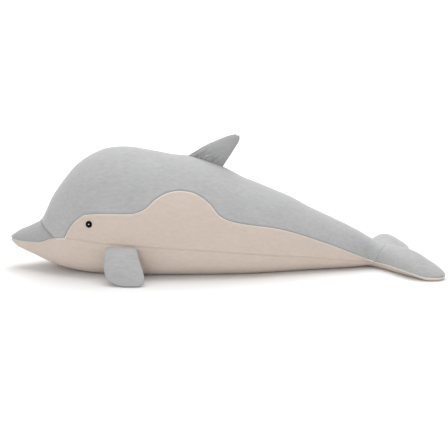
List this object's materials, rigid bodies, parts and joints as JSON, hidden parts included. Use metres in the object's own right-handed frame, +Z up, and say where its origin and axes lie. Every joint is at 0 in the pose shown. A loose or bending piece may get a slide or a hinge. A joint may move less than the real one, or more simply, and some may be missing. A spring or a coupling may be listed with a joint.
{
  "type": "plush dolphin",
  "caption": "Stuffed fabric dolphin lying on its belly, with a curved dorsal fin, side flippers, a broad fluke tail and domed eyes; fins and tail bend at their seams.",
  "frame": {"origin": "centre of the footprint on the floor, under the middle of the object's length", "axes": "+X from beak to tail, +Y to the animal's right side, +Z up; it lies on its belly on z = 0"},
  "size_m": [0.8004, 0.3122, 0.2492],
  "materials": {
    "grey_plush": "short-pile stretch plush, light grey",
    "dark_grey_plush": "short-pile stretch plush, mid grey",
    "cream_plush": "short-pile stretch plush, warm cream",
    "fibre_filling": "loose polyester fibre filling",
    "black_eye": "polished black",
    "white_washer": "moulded natural white"
  },
  "bodies": {
    "torso": {"belly_panel": "cream_plush", "body_filling": "fibre_filling", "back_panel_left": "grey_plush", "back_panel_right": "grey_plush", "beak_panel_left": "dark_grey_plush", "beak_panel_right": "dark_grey_plush", "side_panel_left": "cream_plush", "side_panel_right": "cream_plush", "eye_left": "black_eye", "eye_right": "black_eye", "eye_washer_left": "white_washer", "eye_washer_right": "white_washer"},
    "dorsal_fin": {"dorsal_fin_left_panel": "dark_grey_plush", "dorsal_fin_right_panel": "dark_grey_plush", "dorsal_fin_filling": "fibre_filling"},
    "flipper_left": {"flipper_left_inner_panel": "grey_plush", "flipper_left_outer_panel": "grey_plush", "flipper_left_filling": "fibre_filling"},
    "flipper_right": {"flipper_right_inner_panel": "grey_plush", "flipper_right_outer_panel": "grey_plush", "flipper_right_filling": "fibre_filling"},
    "tail": {"fluke_bottom_panel": "cream_plush", "fluke_top_panel_left": "grey_plush", "fluke_top_panel_right": "grey_plush", "fluke_filling": "fibre_filling"}
  },
  "joints": [
    {"name": "dorsal_fin_bend", "type": "hinge", "parent": "torso", "child": "dorsal_fin", "pos_m": [-0.02776, 0, 0.2063], "axis": [0.9511, 0, -0.309], "range_deg": [-60, 60], "stiffness_Nm_per_rad": 0.05},
    {"name": "flipper_left_lift", "type": "hinge", "parent": "torso", "child": "flipper_left", "pos_m": [-0.176, -0.121, 0.061], "axis": [-0.9962, 0.0872, 0], "range_deg": [0, 80], "stiffness_Nm_per_rad": 0.04},
    {"name": "flipper_right_lift", "type": "hinge", "parent": "torso", "child": "flipper_right", "pos_m": [-0.176, 0.121, 0.061], "axis": [0.9962, 0.0872, 0], "range_deg": [0, 80], "stiffness_Nm_per_rad": 0.04},
    {"name": "tail_bend", "type": "hinge", "parent": "torso", "child": "tail", "pos_m": [0.3, 0, 0.022], "axis": [0, -1, 0], "range_deg": [-15, 30], "stiffness_Nm_per_rad": 0.5}
  ]
}
